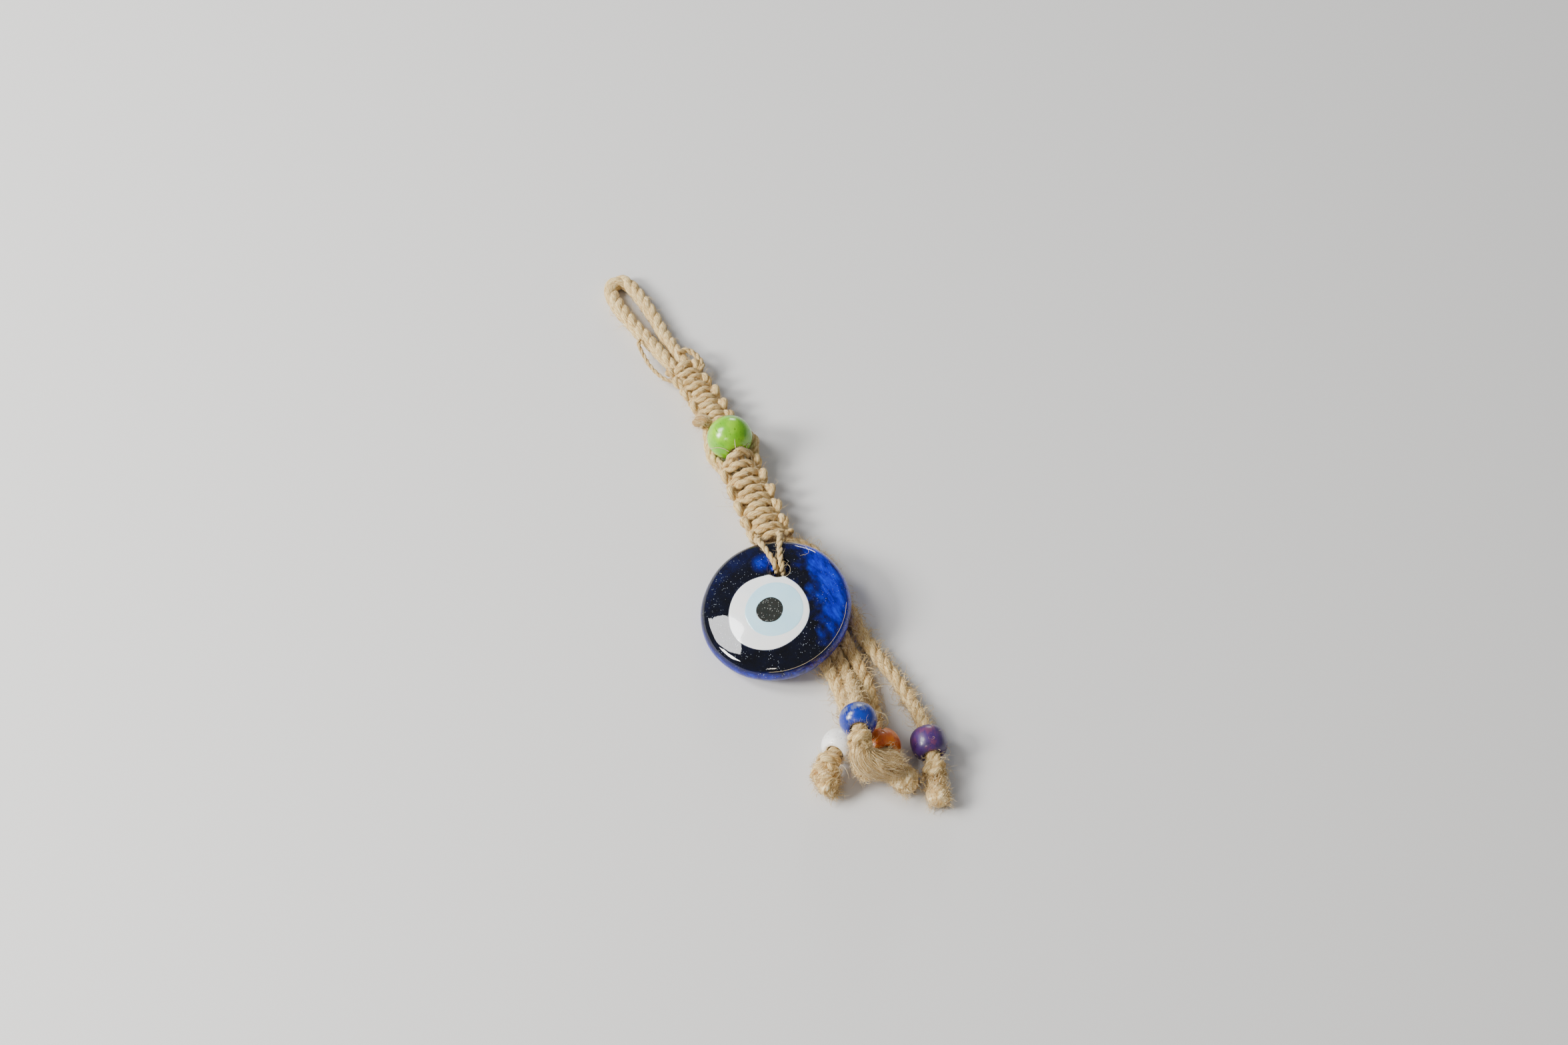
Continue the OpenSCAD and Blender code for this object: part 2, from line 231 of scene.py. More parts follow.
def add_light(name, direction, distance, size, power, colour):
    """A rectangular soft light that faces the middle of the ornament."""
    data = bpy.data.lights.new(name, "AREA")
    data.shape = "RECTANGLE"
    data.size, data.size_y = size
    data.energy = power
    data.color = colour
    light = placed(name, data)
    away = Vector(direction).normalized()
    light.location = LIT_PLACE + away * distance
    light.rotation_mode = "QUATERNION"
    light.rotation_quaternion = away.to_track_quat("Z", "Y")


def add_floor():
    """A plain pale floor, in metres."""
    mesh = bpy.data.meshes.new("floor")
    half = 3.0
    corners = [(-half, -half, 0), (half, -half, 0), (half, half, 0), (-half, half, 0)]
    mesh.from_pydata(corners, [], [(0, 1, 2, 3)])
    floor = placed("floor", mesh)
    pale = {"Base Color": (0.66, 0.655, 0.645, 1), "Roughness": 0.7}
    mesh.materials.append(shader_material("floor", pale)[0])


def add_world():
    """Faint, slightly cool light from all round."""
    world = bpy.data.worlds.new("studio")
    world.use_nodes = True
    background = world.node_tree.nodes["Background"]
    background.inputs["Color"].default_value = (0.93, 0.95, 1.0, 1)
    background.inputs["Strength"].default_value = 0.3
    bpy.context.scene.world = world


# ---- Materials ----
def shader_material(name, sockets):
    """A material with one Principled shader. Returns it, its node tree and the shader."""
    material = bpy.data.materials.new(name)
    material.use_nodes = True
    shader = material.node_tree.nodes["Principled BSDF"]
    for socket, value in sockets.items():
        shader.inputs[socket].default_value = value
    return material, material.node_tree, shader


def node(tree, kind, inputs=None, **settings):
    """A new node. inputs gives each socket a value or the output that drives it."""
    made = tree.nodes.new(kind)
    for name, value in settings.items():
        setattr(made, name, value)
    for socket, value in (inputs or {}).items():
        if isinstance(value, bpy.types.NodeSocket):
            tree.links.new(value, made.inputs[socket])
        else:
            made.inputs[socket].default_value = value
    return made


def ramp(tree, factor, stops):
    """A colour ramp. stops are (place, colour) pairs."""
    made = node(tree, "ShaderNodeValToRGB", {"Fac": factor})
    elements = made.color_ramp.elements
    while len(elements) < len(stops):
        elements.new(0.5)
    for element, (place, colour) in zip(elements, stops):
        element.position = place
        element.color = (*colour, 1)
    return made.outputs["Color"]


def mix(tree, factor, a, b, blend="MIX"):
    """Colour a going to colour b as the factor goes from 0 to 1."""
    made = node(tree, "ShaderNodeMix", data_type="RGBA", blend_type=blend)
    for index, value in ((0, factor), (6, a), (7, b)):
        if isinstance(value, bpy.types.NodeSocket):
            tree.links.new(value, made.inputs[index])
        else:
            made.inputs[index].default_value = value
    return made.outputs[2]


def add_bump(tree, shader, height, strength, distance):
    sockets = {"Height": height, "Strength": strength, "Distance": distance * MM}
    made = node(tree, "ShaderNodeBump", sockets)
    tree.links.new(made.outputs["Normal"], shader.inputs["Normal"])


def noise_of(tree, vector, scale, detail=4.0, rough=0.6):
    sockets = {"Vector": vector, "Scale": scale, "Detail": detail, "Roughness": rough}
    return node(tree, "ShaderNodeTexNoise", sockets).outputs["Fac"]


def dots_of(tree, vector, scale):
    """Distance from the nearest of many scattered points."""
    sockets = {"Vector": vector, "Scale": scale}
    return node(tree, "ShaderNodeTexVoronoi", sockets).outputs["Distance"]


def grain_of(tree):
    """Each point's place in the fibre, the wood or the glass."""
    return node(tree, "ShaderNodeAttribute", attribute_name="grain").outputs["Vector"]


def tint_shade_wear_of(tree):
    """A random tint, how far out of a groove or hollow a fibre lies, which the jute material paints
    as shade, or how worn the wood is.
    """
    return node(tree, "ShaderNodeAttribute", attribute_name="tone").outputs["Fac"]


def maths(tree, operation, a, b):
    return node(tree, "ShaderNodeMath", {0: a, 1: b}, operation=operation).outputs[0]


def fade(tree, value, start, end, low=0.0, high=1.0):
    """Goes from low to high as the value goes from start to end."""
    sockets = {"Value": value, "From Min": start, "From Max": end, "To Min": low, "To Max": high}
    return node(tree, "ShaderNodeMapRange", sockets).outputs["Result"]


def jute_material(name, dark, middle, pale):
    """Plant fibre: streaks that follow the twist, and painted shade that darkens the grooves and
    hollows.
    """
    material, tree, shader = shader_material(name, {
        "Roughness": 0.8, "Sheen Weight": 0.15, "Sheen Roughness": 0.5,
        "Specular IOR Level": 0.25, "Subsurface Weight": 0.08, "Subsurface Scale": 0.5 * MM,
        "Subsurface Radius": (1.0, 0.65, 0.35)})
    grain, tone = grain_of(tree), tint_shade_wear_of(tree)
    streaks = noise_of(tree, grain, 5.5, 5.0, 0.72)
    fibres = ramp(tree, streaks, [(0.34, dark), (0.47, middle), (0.62, pale)])
    # Painted shade: low values, down in grooves and hollows, multiply the fibre colour by brown.
    depth = ramp(tree, tone, [(0.0, (0.36, 0.22, 0.10)), (0.4, (0.80, 0.68, 0.48)),
                              (0.9, (1.0, 1.0, 1.0))])
    tree.links.new(mix(tree, 1.0, fibres, depth, "MULTIPLY"), shader.inputs["Base Color"])
    add_bump(tree, shader, noise_of(tree, grain, 9.0, 3.0), 0.9, 0.25)
    return material


def painted_glow_places(tree, place):
    """Painted light on the cobalt glass: a glow painted on one side, on a patch by the bore and at
    the foot of the rim, where light would come through the glass.
    """
    glow_side, glow_patch_at = (0.045, 0.021, 0), (-4.6, 11.2, 8.0)
    to_side = node(tree, "ShaderNodeVectorMath", {0: place, 1: glow_side},
                   operation="DOT_PRODUCT").outputs["Value"]
    drift = fade(tree, noise_of(tree, place, 0.2, 3.0), 0.0, 1.0, -0.35, 0.35)
    # Painted light: a glow over one side of the disc, with a slow drift at its edge.
    side = fade(tree, maths(tree, "ADD", to_side, drift), 0.42, 0.66)
    # Painted light: a glowing patch by the bore.
    from_patch = node(tree, "ShaderNodeVectorMath", {0: place, 1: glow_patch_at},
                      operation="DISTANCE").outputs["Value"]
    glow_patch = fade(tree, from_patch, 3.6, 0.6, 0.0, 0.85)
    # Painted light: a glow round the foot of the rim.
    height = node(tree, "ShaderNodeSeparateXYZ", {0: place}).outputs["Z"]
    from_middle = node(tree, "ShaderNodeVectorMath", {0: place},
                       operation="LENGTH").outputs["Value"]
    foot_glow = maths(tree, "MULTIPLY", fade(tree, height, 6.2, 4.8, 0.0, 0.8),
                 fade(tree, from_middle, 15.5, 17.5))
    return maths(tree, "MAXIMUM", maths(tree, "MAXIMUM", side, glow_patch), foot_glow)


def glass_material():
    """Poured cobalt glass: nearly black in its body, with painted light that makes it bright where
    light would come through.
    """
    material, tree, shader = shader_material("cobalt_glass", {"Roughness": 0.02, "IOR": 1.52})
    place = grain_of(tree)
    # Painted light: where the glow is painted, the glass turns from navy to bright streaky cobalt
    # and lets less light through.
    painted_glow = painted_glow_places(tree, place)
    turned = node(tree, "ShaderNodeVectorRotate", {"Vector": place, "Angle": -0.7},
                  rotation_type="Z_AXIS").outputs["Vector"]
    long_way = node(tree, "ShaderNodeMapping", {"Vector": turned, "Scale": (0.62, 0.2, 0.4)})
    streaks = noise_of(tree, long_way.outputs["Vector"], 1.0, 7.0, 0.68)
    # The streaks are the glass's own; the bright cobalt shows only where the glow is painted.
    blue = ramp(tree, streaks, [(0.34, (0.0, 0.002, 0.10)), (0.5, (0.0, 0.008, 0.50)),
                                (0.66, (0.01, 0.06, 1.0))])
    navy = ramp(tree, noise_of(tree, place, 0.35, 4.0),
                [(0.35, (0.003, 0.004, 0.012)), (0.7, (0.006, 0.010, 0.045))])
    body = mix(tree, painted_glow, navy, blue)
    dots = dots_of(tree, place, 1.7)
    crowded = fade(tree, noise_of(tree, place, 0.16, 2.0), 0.42, 0.6)
    specks = maths(tree, "MULTIPLY", fade(tree, dots, 0.17, 0.11), crowded)
    tree.links.new(mix(tree, specks, body, (0.42, 0.48, 0.55, 1)), shader.inputs["Base Color"])
    # Less light goes through where the glow is painted and where there are specks.
    clear = maths(tree, "MULTIPLY", fade(tree, painted_glow, 0.0, 1.0, 0.8, 0.4),
                  maths(tree, "SUBTRACT", 1.0, specks))
    tree.links.new(clear, shader.inputs["Transmission Weight"])
    add_bump(tree, shader, noise_of(tree, place, 0.4, 2.0), 0.02, 0.3)
    return material


def enamel_material(name, base, cloud, speck=None):
    """Opaque fused glass: faint clouds, soft depth and a clear gloss."""
    material, tree, shader = shader_material(name, {
        "Roughness": 0.12, "Coat Weight": 0.6, "Coat Roughness": 0.03,
        "Subsurface Weight": 0.1, "Subsurface Scale": 1.0 * MM})
    place = node(tree, "ShaderNodeTexCoord").outputs["Object"]
    colour = ramp(tree, noise_of(tree, place, 150, 4.0), [(0.3, cloud), (0.65, base)])
    if speck:
        spots = ramp(tree, dots_of(tree, place, 1900.0), [(0.1, (1, 1, 1)), (0.26, (0, 0, 0))])
        colour = mix(tree, spots, colour, (*speck, 1))
    tree.links.new(colour, shader.inputs["Base Color"])
    add_bump(tree, shader, noise_of(tree, place, 380, 2.0), 0.06, 0.3)
    return material


def paint_material(name, base, shade, scuff, worn, gloss):
    """Painted wood: scratches along the grain, scuffed patches and bare wood by the bore."""
    material, tree, shader = shader_material(name, {
        "Roughness": gloss, "Coat Weight": 0.35, "Coat Roughness": 0.14})
    grain, tone = grain_of(tree), tint_shade_wear_of(tree)
    patches = ramp(tree, noise_of(tree, grain, 1.6, 3.0), [(0.35, shade), (0.6, base)])
    long_grain = node(tree, "ShaderNodeMapping", {"Vector": grain, "Scale": (9, 9, 0.9)})
    scratch = noise_of(tree, long_grain.outputs["Vector"], 1.5, 6.0, 0.7)
    lines = ramp(tree, scratch, [(0.33, (1, 1, 1)), (0.40, (0, 0, 0))])
    scratched = mix(tree, lines, patches, (*(0.4 * value for value in shade), 1))
    rubbed = maths(tree, "ADD", noise_of(tree, grain, 1.1, 2.0),
                   fade(tree, scratch, 0.3, 0.7, -0.12, 0.12))
    scuffed = mix(tree, fade(tree, rubbed, 0.56, 0.66, 0.0, 0.75), scratched, (*scuff, 1))
    chips = maths(tree, "ADD", tone, noise_of(tree, grain, 5.0, 5.0))
    bare = ramp(tree, chips, [(worn, (0, 0, 0)), (worn + 0.05, (1, 1, 1))])
    wood = ramp(tree, scratch, [(0.35, (0.30, 0.18, 0.08)), (0.65, (0.66, 0.47, 0.27))])
    tree.links.new(mix(tree, bare, scuffed, wood), shader.inputs["Base Color"])
    rough = ramp(tree, bare, [(0.0, (gloss,) * 3), (1.0, (0.7,) * 3)])
    tree.links.new(rough, shader.inputs["Roughness"])
    add_bump(tree, shader, scratch, 0.25, 0.15)
    return material


# ---- Mesh building ----
class Part:
    """Points in millimetres, quads, and for each point its grain place and a value from 0 to 1 that
    holds a random tint, painted shade in grooves and hollows, or wear by a bead's bore.
    """

    def __init__(self, points, quads, grain, tone):
        self.points, self.quads = points.reshape(-1, 3), quads.reshape(-1, 4)
        self.grain, self.tone = grain.reshape(-1, 3), tone.ravel()


def joined(parts):
    """Several parts as one."""
    starts = np.cumsum([0] + [len(p.points) for p in parts[:-1]])
    return Part(
        np.concatenate([p.points for p in parts]),
        np.concatenate([p.quads + start for p, start in zip(parts, starts)]),
        np.concatenate([p.grain for p in parts]),
        np.concatenate([p.tone for p in parts]),
    )


def mesh_piece(name, part, slot, body, replaces=()):
    """A Blender object with its slot's material. With no body, the caller bakes its placement into
    the mesh.
    """
    mesh = bpy.data.meshes.new(name)
    above_floor = np.maximum(part.points, [-np.inf, -np.inf, 0])
    mesh.from_pydata((above_floor * MM).tolist(), [], part.quads.tolist())
    grain = mesh.attributes.new("grain", "FLOAT_VECTOR", "POINT")
    grain.data.foreach_set("vector", part.grain.astype(np.float32).ravel())
    tone = mesh.attributes.new("tone", "FLOAT", "POINT")
    tone.data.foreach_set("value", part.tone.astype(np.float32))
    mesh.materials.append(MATERIALS[slot])
    mesh.shade_smooth()
    piece = placed(name, mesh)
    if body:
        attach(piece, body)
    if replaces:
        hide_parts(*replaces)
    return piece


def unit(v):
    """One or more vectors at length 1."""
    v = np.asarray(v, float)
    return v / np.maximum(np.linalg.norm(v, axis=-1, keepdims=True), 1e-9)


def around(turn, side, top):
    """The direction that each turn points to between side and top."""
    return np.cos(turn)[..., None] * side + np.sin(turn)[..., None] * top


def turns(count):
    """Even turns once round a circle."""
    return np.linspace(0, FULL_TURN, count, endpoint=False)


def arc(path):
    """Distance along a path at each of its points."""
    return np.concatenate([[0], np.cumsum(np.linalg.norm(np.diff(path, axis=0), axis=1))])


def between(places, along, rows):
    """Rows of x, y, z at any places along them."""
    return np.stack([np.interp(places, along, rows[:, k]) for k in range(3)], axis=-1)


def even(path, step):
    """The same path with even steps."""
    along = arc(path)
    places = np.linspace(0, along[-1], max(3, int(round(along[-1] / step)) + 1))
    return between(places, along, path)


def spread_along(path, spread):
    """A half width for each point of a path, from a few even values."""
    along = arc(path)
    return np.interp(along / along[-1], np.linspace(0, 1, len(spread)), spread)


def smooth(route, step=0.3):
    """A smooth curve through a route's points."""
    fine = 24
    route = np.array(route, float)
    gaps = np.linalg.norm(np.diff(route, axis=0), axis=1)
    slopes = np.diff(route, axis=0) / gaps[:, None]
    inner = (slopes[:-1] * gaps[1:, None] + slopes[1:] * gaps[:-1, None])
    inner /= (gaps[1:] + gaps[:-1])[:, None]
    tangents = np.vstack([slopes[:1], inner, slopes[-1:]])
    u = np.linspace(0, 1, fine, endpoint=False)[:, None]
    curve = []
    for i, gap in enumerate(gaps):
        curve.append((2 * u**3 - 3 * u**2 + 1) * route[i] + (3 * u**2 - 2 * u**3) * route[i + 1]
                     + gap * ((u**3 - 2 * u**2 + u) * tangents[i] + (u**3 - u**2) * tangents[i + 1]))
    return even(np.vstack([*curve, route[-1:]]), step)


def frames(path):
    """Heading, side and top at each point, turning as little as possible along the way."""
    heading = unit(np.gradient(path, axis=0))
    side = np.zeros_like(path)
    first = np.cross(UP, heading[0])
    side[0] = unit(first if np.linalg.norm(first) > 0.1 else np.cross([1, 0, 0], heading[0]))
    for i in range(1, len(path)):
        side[i] = unit(side[i - 1] - heading[i] * (side[i - 1] @ heading[i]))
    return heading, side, np.cross(heading, side)


def numbers(*shape):
    """The points' numbers, in the shape of their grid."""
    return np.arange(math.prod(shape)).reshape(shape)


def walls_over(index, flipped=False):
    """Quads between each ring of point numbers and the next one."""
    after = np.roll(index, -1, axis=-1)
    corners = [index[..., :-1, :], after[..., :-1, :], after[..., 1:, :], index[..., 1:, :]]
    if flipped:
        corners = [corners[0], corners[3], corners[2], corners[1]]
    return np.stack(corners, axis=-1).reshape(-1, 4)


def closed_walls(shape, flipped=False):
    """The same over all rings of a (rings, sides) grid, from the last back to the first."""
    index = numbers(*shape[:2])
    return walls_over(np.vstack([index, index[:1]]), flipped)


def loft(rings, grain, tone):
    """Quads over an array of rings, shaped (rings, sides, 3), with both ends closed."""
    count, sides = rings.shape[:2]
    index = numbers(count, sides)
    j = np.arange(sides // 2 - 1)
    cap = np.stack([j, j + 1, sides - 2 - j, sides - 1 - j], axis=-1)
    first, last = cap[:, ::-1], cap + index[-1, 0]
    quads = np.vstack([walls_over(index), first, last])
    return Part(rings, quads, grain, np.broadcast_to(tone, (count, sides)))


def strand(path, radius, seed, twist, sides=12, ridge=0.09):
    """One ply: a soft tube whose small ridges wind round it. radius may vary along it."""
    rng = np.random.default_rng(seed)
    _, side, top = frames(path)
    along = arc(path)[:, None]
    angle = turns(sides)[None]
    fibre_angle = angle - twist * along
    wave = np.zeros((len(path), sides))
    for lobes in (2, 3, 5):
        drift = 0.8 * np.sin(along / rng.uniform(1.5, 4) + rng.uniform(0, 6))
        wave += np.cos(lobes * fibre_angle + drift + rng.uniform(0, 6)) / lobes**0.5
    swell = 1 + 0.04 * np.sin(along / rng.uniform(1.2, 2.5) + rng.uniform(0, 6))
    width = np.broadcast_to(np.asarray(radius, float).reshape(-1, 1), (len(path), 1))
    ring_r = (width * swell * (1 + ridge * 0.6 * wave))[..., None]
    rings = path[:, None] + ring_r * around(angle, side[:, None], top[:, None])
    grain = np.stack([np.cos(fibre_angle), np.sin(fibre_angle),
                      np.broadcast_to(along * 0.13, fibre_angle.shape)], axis=-1)
    return loft(rings, grain + rng.uniform(0, 40, 3), rng.uniform(0, 1))


def rounded_ends(path, radius, length):
    """A radius for each point that closes softly over the given length at both ends."""
    along = arc(path)
    share = np.clip(np.minimum(along, along[-1] - along) / length, 0, 1)
    return radius * np.sqrt(np.clip(1 - (1 - share) ** 2, 0.03, 1))


def rope(path, radius, plies, lay, seed, sides=12, share=None):
    """Plies laid round each other along a path, with painted shade down in the grooves."""
    share = share or PLY_SHARE[plies]
    radius = np.broadcast_to(np.asarray(radius, float), len(path))
    _, side, top = frames(path)
    along = arc(path)
    parts = []
    for ply in range(plies):
        turn = FULL_TURN * (along / lay + ply / plies) + 0.15 * np.sin(along / 3.1 + seed)
        centre = path + (radius * (1 - share))[:, None] * around(turn, side, top)
        width = rounded_ends(centre, 1.0, radius.mean() * 0.6) * radius * share
        made = strand(centre, width, seed * 10 + ply, twist=-3.4 / lay, sides=sides)
        shape = made.points.reshape(len(path), sides, 3)
        reach = np.linalg.norm(shape - path[:, None], axis=2) / radius[:, None]
        # Painted shade: points that turn in towards the rope's middle get a low value, which the
        # jute material darkens.
        own, groove, climb = 0.22, 0.42, 0.5
        out_of_groove_shade = np.clip((reach - groove) / climb, 0, 1)
        made.tone = own * made.tone + (1 - own) * out_of_groove_shade.ravel()
        parts.append(made)
    return joined(parts)


def hairs(points, radius, tone, grain_seed):
    """Many thin tapered fibres. points is (hairs, steps, 3) and radius is one per hair."""
    rng = np.random.default_rng(grain_seed)
    count, steps = points.shape[:2]
    points = points.copy()
    points[..., 2] = np.maximum(points[..., 2], FLOOR_GAP)
    heading = unit(np.gradient(points, axis=1))
    side = unit(np.cross(heading, rng.normal(0, 1, (count, 1, 3))))
    top = np.cross(heading, side)
    taper = np.linspace(1, 0.25, steps)[None, :, None, None] * radius[:, None, None, None]
    rings = points[:, :, None] + taper * around(turns(3), side[:, :, None], top[:, :, None])
    quads = walls_over(numbers(count, steps, 3))
    place = np.zeros((count, steps, 3, 3))
    place[..., 0] = rng.uniform(0, 60, (count, 1, 1))
    place[..., 2] = np.linspace(0, 0.6, steps)[None, :, None]
    return Part(rings, quads, place, np.broadcast_to(tone[:, None, None], (count, steps, 3)))


def fuzz(path, radius, count, length, seed, lift=0.45, thickness=0.045, curl=0.1):
    """Loose fibres that stand off a rope. length is the shortest and the longest."""
    steps = 8
    rng = np.random.default_rng(seed)
    heading, side, top = frames(path)
    at = rng.integers(0, len(path), count)
    reach = np.broadcast_to(np.asarray(radius, float), len(path))[at][:, None]
    turn = rng.uniform(0, FULL_TURN, count)
    out = around(turn, side[at], top[at])
    sideways = around(turn, top[at], -side[at])
    way = rng.choice([-1.0, 1.0], count)[:, None]
    rise = lift * rng.uniform(0.2, 1.4, count)[:, None]
    first = unit(way * heading[at] + rng.normal(0.4, 0.4, (count, 1)) * sideways * way + rise * out)
    size = length[0] + (length[1] - length[0]) * rng.uniform(0, 1, count)**2.0
    bend = rng.normal(0, 0.5, (count, 3)) - 0.12 * UP
    u = np.linspace(0, 1, steps)[None, :, None]
    phase = u * rng.uniform(4, 9, (count, 1, 1))
    spiral = curl * (np.sin(phase) * sideways[:, None] + (1 - np.cos(phase)) * out[:, None])
    points = (path[at] + out * reach * 0.86)[:, None]
    curve = u * first[:, None] + u**2 * bend[:, None] * 0.6 + spiral
    points = points + size[:, None, None] * curve
    return hairs(points, thickness * rng.uniform(0.6, 1.3, count), rng.uniform(0.3, 1, count), seed)


def tassel(route, spread, count, seed):
    """A frayed rope end: fibres that start together and splay along a route."""
    steps, thickness = 14, 0.06
    rng = np.random.default_rng(seed)
    path = smooth(route, 0.25)
    _, side, top = frames(path)
    wide = spread_along(path, spread)
    places = range(len(path))
    start, reach = rng.uniform(-0.05, 0.25, count), rng.uniform(0.6, 1.08, count)
    u = start[:, None] + (reach - start)[:, None] * np.linspace(0, 1, steps)[None]
    at = np.clip(u, 0, 1) * (len(path) - 1)
    over = np.maximum(u - 1, 0)[..., None] * (path[-1] - path[-3]) * 6
    out = np.sqrt(rng.uniform(0.05, 1, count))[:, None] * np.interp(at, places, wide)
    turn = rng.uniform(0, FULL_TURN, (count, 1)) + 0.9 * u + rng.normal(0, 0.35, (count, 1)) * u
    splayed = around(turn, between(at, places, side), between(at, places, top))
    points = between(at, places, path) + over + out[..., None] * splayed
    wobble = np.cumsum(rng.normal(0, 0.09, (count, steps, 3)), axis=1)
    return hairs(points + wobble, thickness * rng.uniform(0.5, 1.2, count),
                 rng.uniform(0.2, 1, count), seed)


def unevenness(points, scale, size, seed):
    """A slow, small rise and fall at each point."""
    return np.array([size * noise.noise(Vector(p) * scale + Vector((seed, 0, 0))) for p in points])


def felt(route, spread, seed, count=900):
    """A matted rope end: a lumpy body under a coat of short fibres."""
    path = smooth(route, 0.25)
    wide = spread_along(path, spread)
    full = rounded_ends(path, 1.0, 2.4) * wide * 0.93
    body = strand(path, full, seed, twist=0.3, sides=32, ridge=0.14)
    lumps = 1 + unevenness(body.points, 0.5, 0.17, seed) + unevenness(body.points, 1.6, 0.10, seed)
    out = body.points.reshape(len(path), -1, 3) - path[:, None]
    body.points = (path[:, None] + out * lumps.reshape(len(path), -1, 1)).reshape(-1, 3)
    body.points[:, 2] = np.maximum(body.points[:, 2], FLOOR_GAP)
    # Painted shade: the sunk parts of the lumpy body get a low value and come out darker, the raised
    # lumps paler.
    body.tone = np.clip(0.45 + 3.5 * (lumps - 1), 0, 1)
    coat = fuzz(path, wide * 1.02, count, (0.5, 2.4), seed + 1, lift=0.7, thickness=0.06, curl=0.14)
    return joined([body, coat])


def stray(name, route, radius, body, seed):
    """One loose fibre or thin strand that lies along a route."""
    path = smooth(route, 0.2)
    part = strand(path, rounded_ends(path, radius, 1.0), seed, twist=0.8, sides=6, ridge=0.05)
    part.tone = np.ones(len(part.points))
    mesh_piece(name, part, "jute_fray", body)


def knot_path(centre, size, along):
    """An overhand knot: a trefoil curve about the given direction."""
    t = np.linspace(0, FULL_TURN, 90)
    along = unit(along)
    side = unit(np.cross(along, UP if abs(along[2]) < 0.9 else [1, 0, 0]))
    top = np.cross(along, side)
    ring = (2 + np.cos(3 * t)) / 3
    place = (ring * np.cos(2 * t), ring * np.sin(2 * t), 0.42 * np.sin(3 * t))
    curve = sum(p[:, None] * axis for p, axis in zip(place, (side, top, along)))
    return even(np.array(centre) + size * curve, 0.2)


# ---- Ropes of the strap ----
def bezier(a, b, c, t):
    """Points at t (0 to 1) of the curve from a to c that b pulls aside."""
    t = np.asarray(t, float)[..., None]
    return (1 - t) ** 2 * a + 2 * t * (1 - t) * b + t**2 * c


def strap_place(a, b, c, t, side, z):
    """Points on the strap. side is the distance to the right of the way it runs."""
    t, side, z = np.broadcast_arrays(np.atleast_1d(t), side, z)
    middle = bezier(a, b, c, t)
    way = unit((1 - t)[:, None] * (b - a) + t[:, None] * (c - b))
    return np.stack([middle[:, 0] - side * way[:, 1], middle[:, 1] + side * way[:, 0], z], axis=1)


def upper(t, side, z):
    return strap_place(UPPER_A, UPPER_B, UPPER_C, t, side, z)


def lower(t, side, z):
    return strap_place(LOWER_A, (LOWER_A + LOWER_C) / 2, LOWER_C, t, side, z)


def square_knots(strap, span, count, width, mid_z, reach_z, rise, seed):
    """The two cords of a knotted length. The first crosses in front in every half knot, and the
    second behind, coming to the front at each side in turn. rise lifts the first few bars."""
    rng = np.random.default_rng(seed)
    u = np.linspace(0, count, count * 36 + 1)
    knots = np.arange(count + 1)
    uneven = [np.interp(u, knots, rng.uniform(-1, 1, count + 1)) for _ in range(5)]
    step = (span[1] - span[0]) / count
    swing = np.cos(math.pi * u)
    beat = np.cos(FULL_TURN * u)
    lag = np.sin(FULL_TURN * u) / FULL_TURN
    lifted = rise * (1 - swing**2) * np.exp(-u / 1.1)
    front_t = span[0] + step * (u + 0.75 * lag + 0.06 * uneven[0])
    front = strap(front_t, width * (0.95 + 0.05 * uneven[1]) * swing,
                  mid_z + reach_z * (0.42 - 0.58 * beat + 0.05 * uneven[2]) + lifted)
    back_t = span[0] + step * (u + 1.9 * lag + 0.06 * uneven[3])
    back = strap(back_t, -width * (1.1 + 0.06 * uneven[4]) * swing,
                 mid_z + reach_z * (-0.1 + 0.85 * beat))
    return even(front, 0.3), even(back, 0.3)


def knotted_length(name, strap, span, count, width, mid_z, reach_z, rise, seed):
    """The two cords of a knotted length and their loose fibres, as separate pieces."""
    front, back = square_knots(strap, span, count, width, mid_z, reach_z, rise, seed)
    cords = (("front", front, KNOT_CORD_R, 5), ("back", back, BACK_CORD_R, 4))
    for label, path, radius, more in cords:
        part = rope(path, radius, 2, KNOT_CORD_LAY, seed + more, share=0.67)
        mesh_piece(f"{name}_{label}_cord", part, "jute_twine", "strap", [name])
    fluff = joined([fuzz(path, KNOT_CORD_R, 620, (0.8, 3.8), seed + i, lift=0.7)
                    for i, path in enumerate((front, back))])
    mesh_piece(f"{name}_fuzz", fluff, "jute_fray", "strap")


def add_main_ropes():
    """The two ropes through both knotted lengths, and the third one in the lower length."""
    for label, side, apart, height in (("left", -1, 5.3, 2.0), ("right", 1, 6.7, 4.0)):
        beside = [*(GREEN_AT + side * apart * GREEN_ACROSS)[:2], height]
        route = np.vstack([
            upper([LEGS_END, 0.55, 0.8], side * LEG_SIDE, UPPER_Z), upper(1.0, side * 2.9, 3.0),
            [beside], lower(0.0, side * 3.9, 2.5),
            lower([0.2, 0.6, 1.0], side * 3.15, LOW_CORE_Z)])
        path = smooth(route)
        node_name = f"main_rope_{label}"
        part = rope(path, CORE_R, 3, ROPE_LAY, 30 + side)
        mesh_piece(f"{node_name}_rope", part, "jute_rope", "strap", [node_name])
        shown = path[len(path) // 3:2 * len(path) // 3]
        mesh_piece(f"{node_name}_fuzz", fuzz(shown, CORE_R, 110, (0.6, 2.6), 40 + side),
                   "jute_fray", "strap")
    middle = smooth(lower([0.04, 0.35, 0.7, 1.0], 0.0, LOW_CORE_Z))
    mesh_piece("second_rope_core", rope(middle, LOW_CORE_R, 3, ROPE_LAY, 33), "jute_rope",
               "strap", ["second_rope"])


